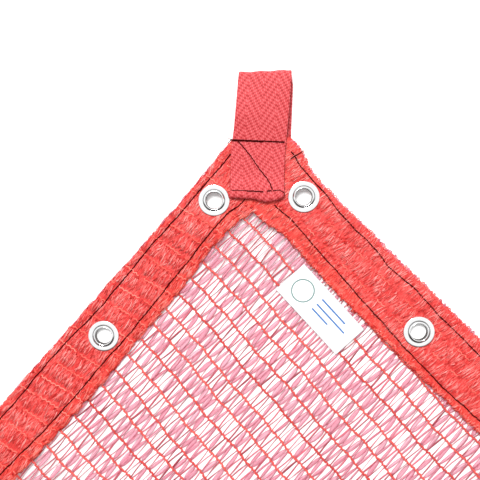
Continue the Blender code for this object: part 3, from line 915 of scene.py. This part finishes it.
def edge_loops(side, finishes, seed):
    """The slack tapes along a hem's outer fold: small loops, or thin ones from chain to chain."""
    rng = np.random.default_rng(seed)
    share = np.linspace(0, 1, 6)
    arch = np.sin(math.pi * share)
    if side.name in CHAINS_CROSS:
        bay = np.repeat(np.arange(-3, 20), 12)
        count = len(bay)
        stray = rng.random(count) < 0.3
        length = np.where(stray, rng.uniform(0.5, 1.0, count), rng.uniform(0.08, 0.3, count))
        first = rng.random(count)
        s = hem_line(bay, 0)[:, None] + CHAIN_PITCH * (first[:, None] + share * length[:, None])
        out = np.where(stray, rng.uniform(0.0, 0.8, count), rng.uniform(-0.3, 0.5, count))[:, None]
        t = 0.5 - (0.5 + out) * arch**0.6
        z = rng.uniform(0.8, 2.5, count)[:, None] + 0 * s
        width = np.where(stray, rng.uniform(0.15, 0.4, count), rng.uniform(0.3, 0.7, count))[:, None] + 0 * s
    else:
        starts = np.arange(20, side.long - 20, 1.7)
        count = len(starts)
        starts = starts + rng.normal(0, 0.5, count)
        out = rng.uniform(0.1, 1.3, count)[:, None]
        spread = rng.uniform(0.6, 1.4, count)[:, None]
        s = starts[:, None] - spread * np.cos(math.pi * share) + rng.normal(0, 0.5, count)[:, None] * arch
        t = 1.3 - (1.3 + out) * arch
        z = 2.5 - 1.2 * arch + rng.uniform(-0.3, 0.3, count)[:, None]
        width = rng.uniform(0.4, 0.9, count)[:, None] + 0 * s
    turn = rng.uniform(-0.9, 0.9, count)[:, None] + 0 * share
    rings = tapes(with_height(side.at(s, t), z), width, turn, 0.16)
    sheer = rng.random(count) < 0.4
    groups = [strands(rings[~sheer], 0), strands(rings[sheer], 1)]
    return piece("hem_loops_" + side.name, groups, finishes)


def inner_fringe(side, finishes, seed):
    """Lumpy tapes at a hem's inner edge, and a few pink ones that come out from under it."""
    rng = np.random.default_rng(seed)
    share = np.linspace(0, 1, 4)
    arch = np.sin(math.pi * share)
    crossing = side.name in CHAINS_CROSS
    groups = []
    for number, per_bay, reach in ((0, 16, (-2.6, 0.7 if crossing else 1.6)), (1, 2, (0.0, 0.8))):
        count = 24 * per_bay
        slack = rng.normal(0, 0.6 if crossing else 2.2, count)[:, None] * (share - 0.5)
        if crossing:
            bay = rng.integers(-1, 19, count)[:, None]
            t = side.width + rng.uniform(*reach, count)[:, None] + slack
            length = rng.uniform(0.25, 0.75, count)[:, None]
            first = (1 - length) * rng.random(count)[:, None]
            s = hem_line(bay, t) + CHAIN_PITCH * (first + share * length)
        else:
            s = rng.uniform(44, side.long - 44, count)[:, None] + slack
            t = side.width - 2.4 + (2.4 + rng.uniform(*reach, count)[:, None]) * np.sin(2.2 * share)
        near = np.minimum(s, side.long - s)
        keep = (near > side.width + 7).all(axis=1)
        s, t = s[keep], t[keep]
        beyond = eased((t - side.width + 0.8) / 1.6)
        z = (2.85 - 1.35 * beyond if number == 0 else 1.25 + 0 * t)
        z = z + rng.uniform(0, 0.4, len(s))[:, None] * arch
        width = rng.uniform(0.4, 0.9, len(s))[:, None] * (0.6 + 0.4 * arch)
        turn = rng.normal(0, 0.6, len(s))[:, None] + 0 * share
        groups.append(strands(tapes(with_height(side.at(s, t), z), width, turn, 0.12), number))
    return piece("hem_fringe_" + side.name, groups, finishes)


# Sewing

def stitched(path, stitch=3.7, rise=0.38, dip=0.3):
    """A line of stitches along a path (points, 3): each ends at a needle hole, a hair aside of the last."""
    steps = np.concatenate([[0], np.cumsum(np.linalg.norm(np.diff(path[:, :2], axis=0), axis=1))])
    place = (steps / stitch) % 1.0
    hole = np.exp(-((np.minimum(place, 1 - place) * stitch / 0.35) ** 2))
    out = path.copy()
    out[:, 2] += rise - dip * hole
    run = unit(np.gradient(path[:, :2], axis=0))
    aside = 0.22 * (place - 0.5)
    out[:, :2] += np.stack([-run[:, 1], run[:, 0]], axis=1) * aside[:, None]
    return out


def seam(side, which, finish):
    start = 25 if which == 0 else side.width + 3
    s = np.arange(start, side.long - start, 0.7)
    t = side.seam_t(which, s)
    z = side.top(s, t)
    path = stitched(with_height(side.at(s, t), z), rise=0.5, dip=0.25)
    thick = 0.37 + 0.08 * np.sin(s / 3.1) * np.sin(s / 11)
    return piece(f"seam_{side.name}_{which}", [strands(tubes(path[None], thick[None], 6))], [finish])


# Webbing loops

def strap_path():
    """The webbing's middle line as (outwards from the corner, height), from its turned-under end."""
    on_hem = STRAP_FLOOR + STRAP_THICK / 2
    over_fold = on_hem + 2 * FOLD_R
    fold_at = -STRAP_END + FOLD_R + STRAP_THICK / 2
    path = [(fold_at + 7, on_hem), (fold_at, on_hem)]
    for k in range(1, 4):
        turn = math.pi * k / 4
        path.append((fold_at - FOLD_R * math.sin(turn), on_hem + FOLD_R - FOLD_R * math.cos(turn)))
    path += [(fold_at, over_fold), (fold_at + 4.2, over_fold - 0.1), (fold_at + 7.6, over_fold - 0.6)]
    path += [(fold_at + 13, on_hem + 0.15), (-28, on_hem), (-16, on_hem)]
    path += [(-9, on_hem + 0.9), (0.0, LOOP_HIGH), (10, LOOP_HIGH + 0.3)]
    below = STRAP_THICK / 2
    bend = (LOOP_HIGH - below) / 2
    bend_at = LOOP_REACH - below - bend
    for k in range(9):
        turn = math.pi * k / 8
        path.append((bend_at + bend * math.sin(turn), below + bend + bend * math.cos(turn)))
    path += [(8, below), (-8, below), (-STRAP_END + 1, below)]
    return np.array(path, float)


def resampled(path, step):
    """Points a step apart on a path, softened so that its corners are round."""
    run = np.concatenate([[0], np.cumsum(np.linalg.norm(np.diff(path, axis=0), axis=1))])
    at = np.arange(0, run[-1], step)
    line = np.stack([np.interp(at, run, path[:, k]) for k in range(path.shape[1])], axis=1)
    for _ in range(3):
        line[1:-1] = (line[:-2] + 2 * line[1:-1] + line[2:]) / 4
    return line, at


def from_table(table, out):
    places, values = zip(*table)
    return np.interp(out, places, values)


def weave_relief(across, run):
    """Height of the woven floats, the same pattern as the finish shows."""
    column = (across + WEAVE_START) / WEAVE_COLUMN
    middle = (np.floor(column) + 0.5) * WEAVE_COLUMN - WEAVE_START
    fold = np.abs(((middle - WEAVE_TURN - WEAVE_BAND) / (2 * WEAVE_BAND)) % 1.0 * 2 * WEAVE_BAND - WEAVE_BAND)
    turn = 2 * math.pi * (run - WEAVE_SLOPE * fold) / WEAVE_ROW
    floats = 0.5 + WEAVE_FLOAT * np.cos(turn) + WEAVE_PICK * np.cos(3 * turn)
    return floats * np.abs(np.sin(math.pi * (column % 1.0))) ** 0.5


END_SAG = ((-16.3, 2.6), (-12.5, 0.3), (-6.4, -1.3), (2.3, 0.2), (16.3, 0.0))  # across, outwards


def strap(corner, finish, step, column_share):
    """One loop of herringbone webbing with rounded selvedges and raised floats."""
    line, run = resampled(strap_path(), step)
    n = len(line)
    tangent = unit(np.gradient(line, axis=0))
    normal = np.stack([-tangent[:, 1], tangent[:, 0]], axis=1)
    columns = int(STRAP_WIDE / (WEAVE_COLUMN * column_share))
    share = np.linspace(-1, 1, columns)
    reach = line[:, 0:1]
    half = from_table(STRAP_WIDTHS, reach) / 2
    below = (np.arange(n) > np.argmax(line[:, 0]))[:, None]
    aside = np.where(below, from_table(STRAP_ASIDE_BELOW, reach), from_table(STRAP_ASIDE, reach))
    across = half * share
    relief = WEAVE_RELIEF * (weave_relief(across, run[:, None]) - 0.5)
    selvedge = np.clip((1 - np.abs(share)) * STRAP_WIDE / 2 / 0.9, 0, 1)
    thick = STRAP_THICK / 2 * (0.35 + 0.65 * np.sqrt(1 - (1 - selvedge) ** 2))
    sag = 0.3 * np.sin(run[:, None] / 9 + share * 1.4) * eased((reach + 8) / 12) * (line[:, 1:2] > 4)
    skewed = -across * STRAP_SKEW * eased((reach + 14) / 30)
    skewed = skewed + 0.22 * np.sin(across / 1.9) * eased((reach - 20) / 8)
    skewed = skewed + from_table(END_SAG, across) * eased((-40 - reach) / 7) * ~below
    out, left = outward(corner, STRAP_LEAN)
    rings, uvs = [], []
    for hand in (-1, 1):
        off = thick * hand + relief * hand + sag
        o = reach + normal[:, 0:1] * off + skewed
        z = np.maximum(line[:, 1:2] + normal[:, 1:2] * off, 0.0)
        place = CORNERS[corner] + out * o[..., None] + left * (across - aside)[..., None]
        points = np.concatenate([place, z[..., None]], axis=-1)
        uv = np.stack([across + WEAVE_START, np.broadcast_to(run[:, None], across.shape)], axis=-1)
        order = slice(None) if hand < 0 else slice(None, None, -1)
        rings.append(points[:, order])
        uvs.append(uv[:, order])
    points = np.concatenate(rings, axis=1)[None]
    uv = np.concatenate(uvs, axis=1).reshape(-1, 2)
    made = piece("webbing_" + corner, [strands(points[:, ::-1])], [finish])
    set_uv(made, uv.reshape(n, -1, 2)[::-1].reshape(-1, 2))
    return made


def set_uv(made, uv):
    """One UV pair for each point, in millimetres."""
    layer = made.data.uv_layers.new(name="cloth_mm")
    index = np.zeros(len(made.data.loops), np.int32)
    made.data.loops.foreach_get("vertex_index", index)
    layer.data.foreach_set("uv", uv[index].astype(np.float32).ravel())


# Stitching on a loop: thread radius, then points as (outwards from the corner, leftwards from its axis).
STRAP_STITCHES = (
    (0.40, ((-14.3, 13.8), (-14.1, 5.0), (-13.9, -5.3), (-13.7, -19.0))),
    (0.24, ((-14.9, 12.6), (-14.6, 4.0), (-14.5, -6.0))),
    (0.20, ((-14.2, 12.2), (-15.0, 14.4), (-16.4, 15.6))),
    (0.20, ((-14.4, 12.4), (-13.6, 14.6), (-13.5, 16.0))),
    (0.30, ((-14.6, 9.4), (-23.7, 0.7), (-30.8, -4.8), (-36.5, -9.9), (-40.7, -12.6), (-43.0, -13.4))),
    (0.22, ((-44.7, 11.2), (-44.3, 1.3))),
    (0.36, ((-44.5, 1.9), (-44.4, -8.1))),
    (0.36, ((-43.8, -10.3), (-43.4, -13.1))),
    (0.24, ((-43.4, -13.8), (-43.1, -18.5), (-44.3, -20.6), (-46.0, -21.0))),
)
HEM_STITCH = ((-23.5, -23.3), (-20.8, -27.0), (-18.0, -30.7))  # one long stitch beside the webbing


def smooth_line(points, step):
    """A soft curve through a few points, with points a step apart."""
    points = np.array(points, float)
    run = np.concatenate([[0], np.cumsum(np.linalg.norm(np.diff(points, axis=0), axis=1))])
    at = np.arange(0, run[-1], step)
    slope = np.gradient(points, run, axis=0)
    k = np.clip(np.searchsorted(run, at, side="right") - 1, 0, len(points) - 2)
    size = run[k + 1] - run[k]
    f = ((at - run[k]) / size)[:, None]
    size = size[:, None]
    p0, p1, m0, m1 = points[k], points[k + 1], slope[k] * size, slope[k + 1] * size
    f2, f3 = f * f, f * f * f
    return p0 * (2 * f3 - 3 * f2 + 1) + m0 * (f3 - 2 * f2 + f) + p1 * (3 * f2 - 2 * f3) + m1 * (f3 - f2)


def strap_height(out):
    """Top of the webbing that is sewn down, at a distance out from the corner."""
    line, _ = resampled(strap_path(), 0.5)
    upper = line[: int(len(line) * 0.45)]
    rising = upper[np.argmax(upper[:, 1] > STRAP_FLOOR + 2) :]
    order = np.argsort(rising[:, 0])
    return np.interp(out, rising[order, 0], rising[order, 1]) + STRAP_THICK / 2


def strap_sewing(corner, finish):
    out, left = outward(corner, STRAP_LEAN)
    groups = []
    for thick, points in STRAP_STITCHES:
        line = smooth_line(points, 0.4)
        reach, aside = line[:, 0], line[:, 1]
        place = CORNERS[corner] + out * line[:, 0:1] + left * line[:, 1:2]
        beyond = np.abs(aside + from_table(STRAP_ASIDE, reach)) - from_table(STRAP_WIDTHS, reach) / 2
        z = strap_height(reach) - np.clip(beyond + 0.3, 0, 3) * 0.9
        path = stitched(np.concatenate([place, z[:, None]], axis=1), 4.2, thick - 0.05, 0.2)
        groups.append(strands(tubes(path[None], thick, 6)))
    line = smooth_line(HEM_STITCH, 0.5)
    place = CORNERS[corner] + out * line[:, 0:1] + left * line[:, 1:2]
    height = np.full((len(line), 1), LIFT + HEM_THICK + 0.45)
    groups.append(strands(tubes(np.concatenate([place, height], axis=1)[None], 0.3, 6)))
    return piece("sewing_" + corner, groups, [finish])


# Eyelets

EYELET_STEPS = 72
BORE_FACES = 3  # the last faces of the profile line the hole, and take a near-black finish as painted shade
GROOVE_FACES = slice(6, 9)  # the faces of the profile between the ring and the flange, which take a dark grey finish as painted shade


def turned(profile, steps):
    """Ring points of a profile turned about the upright axis, as one closed strand that meets itself."""
    profile = np.array(profile, float)
    turn = 2 * math.pi * np.arange(steps) / steps
    r, z = profile[:, 0], profile[:, 1]
    heights = np.broadcast_to(z, (steps, len(r)))
    points = np.stack([np.outer(np.cos(turn), r), np.outer(np.sin(turn), r), heights], axis=-1)
    k = len(r)
    i = np.arange(steps)[:, None]
    j = np.arange(k)[None]
    a = i * k + j
    b = i * k + (j + 1) % k
    c = (i + 1) % steps * k + (j + 1) % k
    d = (i + 1) % steps * k + j
    return points.reshape(-1, 3), np.stack([a, b, c, d], -1).reshape(-1, 4).tolist()


def arc(centre, radius, begin, end, steps):
    angle = np.radians(np.linspace(begin, end, steps))
    return [(centre[0] + radius * math.cos(x), centre[1] + radius * math.sin(x)) for x in angle]


def eyelet_profile():
    """The rolled ring round the hole, its cone, a groove, the domed flange, and down the barrel."""
    seated = SEAT_HIGH + 0.3
    profile = [(HOLE_R, 3.70), (HOLE_R + 0.06, 3.98), (HOLE_R + 0.18, 4.14), (HOLE_R + 0.34, 4.20)]
    profile += [(5.76, 4.17), (5.86, 4.12), (6.42, 3.76), (6.52, 3.64), (6.70, 3.60), (6.90, 3.68)]
    profile += [(7.1, 3.74), (7.6, 3.80), (8.4, 3.80), (8.9, 3.74)]
    profile += arc((FLANGE_R - 0.42, seated + 0.06), 0.42, 70, -8, 6)
    profile += [(FLANGE_R - 0.25, seated), (BARREL_R, seated), (BARREL_R, 0.42)]
    profile += [(TURNED_R, 0.4), (TURNED_R, 0.1), (6.8, 0.0)]
    return profile + [(HOLE_R, 0.0), (BORE_LOW_R, 0.4), (BORE_LOW_R, 0.9)]


def washer_profile():
    low, high, outer, inner = 0.7, 1.2, FLANGE_R, BARREL_R + 0.3
    return [(inner, low), (outer - 0.35, low), (outer, low + 0.2), (outer, high), (inner, high)]


def eyelets(finishes):
    number = 0
    for side in SIDE_OF.values():
        for es, et in side.eyelets:
            number += 1
            centre = side.straight(es, et)
            shift = np.array([*centre, float(lift(centre))])
            for kind, profile in (("eyelet", eyelet_profile()), ("washer", washer_profile())):
                points, faces = turned(profile, EYELET_STEPS)
                faces = [face[::-1] for face in faces]
                numbers = np.zeros(len(profile), int)
                if kind == "eyelet":
                    # The hole's wall: painted shade.
                    numbers[-BORE_FACES:] = 1
                    # The groove: painted shade.
                    numbers[GROOVE_FACES] = 2
                group = (points + shift, faces, np.tile(numbers, EYELET_STEPS))
                made = piece(f"{kind}_ring_{number:02d}", [group], finishes)
                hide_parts(f"{kind}_{number:02d}")


# Label

def label(finish):
    """A satin tape label, with cut ends that lift a little."""
    side = SIDE_OF["upper_right"]
    near = side.width + LABEL_FROM_HEM
    middle = side.long - LABEL_FROM_CORNER - LABEL_LONG / 2
    nx, ny = LABEL_GRID
    u = np.linspace(0, LABEL_LONG, nx)[:, None] + np.zeros(ny)
    v = np.linspace(0, LABEL_WIDE, ny)[None] + np.zeros((nx, 1))
    along = LABEL_LONG / 2 - u
    s = middle + along * math.cos(LABEL_TURN) - v * math.sin(LABEL_TURN)
    t = near + v * math.cos(LABEL_TURN) + along * math.sin(LABEL_TURN)
    place = side.start + side.along * s[..., None] + side.inward * t[..., None]
    curl = 0.35 * np.sin(u / LABEL_LONG * math.pi * 1.6 + 0.5) + 0.25 * np.cos(v / LABEL_WIDE * 5)
    low = LABEL_LOW + 0.45 + curl * 0.6
    bottom = with_height(place, low)[:, ::-1]
    points = np.concatenate([bottom, with_height(place, low + LABEL_SHEET)], axis=1)[None]
    made = piece("label_tape", [strands(points)], [finish])
    uv = np.concatenate([np.stack([u, v], -1)[:, ::-1], np.stack([u, LABEL_WIDE - v], -1)], axis=1)
    set_uv(made, uv.reshape(-1, 2))
    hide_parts("label")
    return made


# Stage

VIEW_LEANS = (3.11, -1.74, 1.87)  # degrees of tilt, swing and roll
VIEW_AT = (-11.71, 162.73, 0.0)
VIEW_AWAY = 414.8
VIEW_LENS = 50
VIEW_SENSOR = 36
FLOOR_SIZE = 6
KEY_PLACE = (-0.15, 0.80, 1.12)
KEY_SIZE = 0.45
KEY_POWER = 17
WORLD_STRENGTH = 1.05
WORLD_DARK = (0.06, 0.05, 0.05)


def camera():
    """The photo's view: nearly straight down on the top corner, with a slight lean and roll."""
    data = bpy.data.cameras.new("camera")
    data.lens = VIEW_LENS
    data.sensor_width = VIEW_SENSOR
    obj = bpy.data.objects.new("camera", data)
    bpy.context.scene.collection.objects.link(obj)
    tilt, swing, roll = (math.radians(x) for x in VIEW_LEANS)
    looks_at = np.array(VIEW_AT) * MM
    to_camera = Matrix.Rotation(roll, 3, "Z") @ Matrix.Rotation(swing, 3, "Y")
    to_world = (to_camera @ Matrix.Rotation(tilt, 3, "X")).transposed()
    place = to_world.col[2] * (VIEW_AWAY * MM)
    obj.matrix_world = to_world.to_4x4()
    obj.location = (looks_at[0] + place[0], looks_at[1] + place[1], looks_at[2] + place[2])
    data.clip_start = 0.01
    bpy.context.scene.camera = obj


def floor():
    bpy.ops.mesh.primitive_plane_add(size=FLOOR_SIZE)
    made = bpy.context.object
    made.name = "floor"
    made.data.materials.append(floor_finish())


def area_light(name, place, size, power):
    data = bpy.data.lights.new(name, "AREA")
    data.shape = "DISK"
    data.size = size
    data.energy = power
    obj = bpy.data.objects.new(name, data)
    bpy.context.scene.collection.objects.link(obj)
    obj.location = place
    aim = -obj.location
    obj.rotation_euler = aim.to_track_quat("-Z", "Y").to_euler()


def studio_world():
    """Bright overhead and dark low down towards -Y, which draws the thin dark arcs on the metal."""
    world = bpy.data.worlds.new("studio")
    bpy.context.scene.world = world
    world.use_nodes = True
    tree = world.node_tree
    parts = tree.nodes.new("ShaderNodeSeparateXYZ")
    tree.links.new(tree.nodes.new("ShaderNodeTexCoord").outputs["Generated"], parts.inputs[0])
    low = weighted(tree, (parts.outputs[1], -3.0), (parts.outputs[2], -1.6))
    low = calc(tree, "ADD", low, 0.35)
    shade = ramp(tree, low, [(0.0, (1, 1, 1)), (1.0, WORLD_DARK)])
    tree.links.new(shade, tree.nodes["Background"].inputs["Color"])
    tree.nodes["Background"].inputs["Strength"].default_value = WORLD_STRENGTH


def lights():
    studio_world()
    area_light("key", KEY_PLACE, KEY_SIZE, KEY_POWER)
    bpy.context.scene.view_settings.view_transform = "Standard"


def hem_finishes():
    """The layers inside a hem, darker as painted shade, and the tapes, chains and painted shadow in the gaps
    on it, by name.
    """
    # Painted shade: the layers under the tapes are darker copies of their red; those past the inner seam are
    # also more orange.
    layers_painted_shade = [(0.38, (0.47, 0.010, 0.008)), (0.5, (0.64, 0.028, 0.024)), (0.62, (0.82, 0.115, 0.100))]
    edge_layers_painted_shade = [(0.38, (0.50, 0.009, 0.006)), (0.5, (0.68, 0.028, 0.018)), (0.62, (0.82, 0.100, 0.074))]
    # Tone differs at random from tape to tape; the pale pink top stop is a painted highlight.
    tones_and_painted_highlights = [
        (0.26, (0.58, 0.012, 0.011)),
        (0.42, (0.77, 0.078, 0.070)),
        (0.57, (0.87, 0.185, 0.168)),
        (0.72, (0.92, 0.320, 0.295)),
    ]
    deep_stops = [(0.26, (0.56, 0.008, 0.006)), (0.48, (0.78, 0.055, 0.036)), (0.72, (0.89, 0.240, 0.190))]
    # Painted shadow: the dark tapes beside the chains.
    gap_shadow_stops = [(0.2, (0.50, 0.006, 0.005)), (0.8, (0.70, 0.024, 0.017))]
    chain_stops = [(0.25, (0.78, 0.085, 0.058)), (0.75, (0.90, 0.225, 0.175))]
    return {
        "layers": [under_knit("hem_layers", layers_painted_shade), under_knit("hem_edge_layers_painted_shade", edge_layers_painted_shade)],
        "red": island_tape("hem_tape", tones_and_painted_highlights),
        "deep": island_tape("hem_edge_tape", deep_stops),
        "gap_shadow": island_tape("hem_gap_painted_shadow", gap_shadow_stops, 0.6),
        "chain": island_tape("hem_chain", chain_stops),
    }


def net_finishes():
    """The net's chains, its sheer tapes, their edges, and the tapes that are folded thin."""
    chain_stops = [(0.2, (0.56, 0.036, 0.030)), (0.8, (0.78, 0.110, 0.092))]
    film_stops = [(0.2, (0.88, 0.33, 0.44)), (0.8, (0.93, 0.52, 0.62))]
    rim_stops = [(0.2, (0.48, 0.080, 0.125)), (0.8, (0.78, 0.220, 0.300))]
    fold_stops = [(0.2, (0.34, 0.040, 0.062)), (0.8, (0.72, 0.160, 0.220))]
    return {
        "chain": island_tape("chain", chain_stops),
        "film": island_tape("sheer_tape", film_stops, 0.3, 0.56),
        "rim": island_tape("tape_edge", rim_stops, 0.35, 0.9),
        "fold": island_tape("folded_tape", fold_stops, 0.35, 0.95),
    }


def dress_net(of_net):
    net_chains = chains(of_net["chain"])
    net_tapes = legs([of_net["film"], of_net["rim"], of_net["fold"]])
    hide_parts("net")


def dress_hem(k, side, of_hem, of_net, thread):
    band = hem_band(side, of_hem["layers"])
    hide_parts("hem_" + side.name)
    over = [
        hem_tapes(side, [of_hem["red"], of_hem["deep"]], HEM_SEEDS["tapes"] + k),
        hem_chains(side, [of_hem["chain"], of_hem["gap_shadow"]], HEM_SEEDS["chains"] + k),
        edge_loops(side, [of_hem["red"], of_net["rim"]], HEM_SEEDS["loops"] + k),
        inner_fringe(side, [of_hem["deep"], of_net["film"]], HEM_SEEDS["fringe"] + k),
    ]
    sewn = [seam(side, which, thread) for which in (0, 1)]


def dress_loop(corner, hem, webbing, thread):
    """Only the loop that the camera sees has the finest mesh."""
    band = strap(corner, webbing, *(FINE_STRAP if corner == "top" else PLAIN_STRAP))
    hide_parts("loop_" + corner)
    sewn = strap_sewing(corner, thread)


def dress_eyelets():
    plated = metal_finish("plated_metal", ((0.90, 0.91, 0.92), (0.97, 0.97, 0.97)), (0.08, 0.16))
    # Painted shade: a dark grey finish for the groove between the ring and the flange.
    groove = metal_finish("eyelet_painted_groove_shade", ((0.13, 0.125, 0.12), (0.24, 0.23, 0.23)), (0.3, 0.5))
    # Painted shade: a near-black finish for the hole's wall.
    painted_bore_shade = metal_finish("eyelet_painted_bore_shade", ((0.05, 0.045, 0.04), (0.12, 0.10, 0.10)), (0.4, 0.55))
    eyelets([plated, painted_bore_shade, groove])


def main():
    of_hem = hem_finishes()
    of_net = net_finishes()
    thread = thread_finish()
    webbing = webbing_finish()
    dress_net(of_net)
    for k, side in enumerate(SIDE_OF.values()):
        dress_hem(k, side, of_hem, of_net, thread)
    for corner, hem in zip(CORNERS, SIDE_ORDER):
        dress_loop(corner, hem, webbing, thread)
    dress_eyelets()
    tape = label(label_finish())
    camera()
    floor()
    lights()


main()
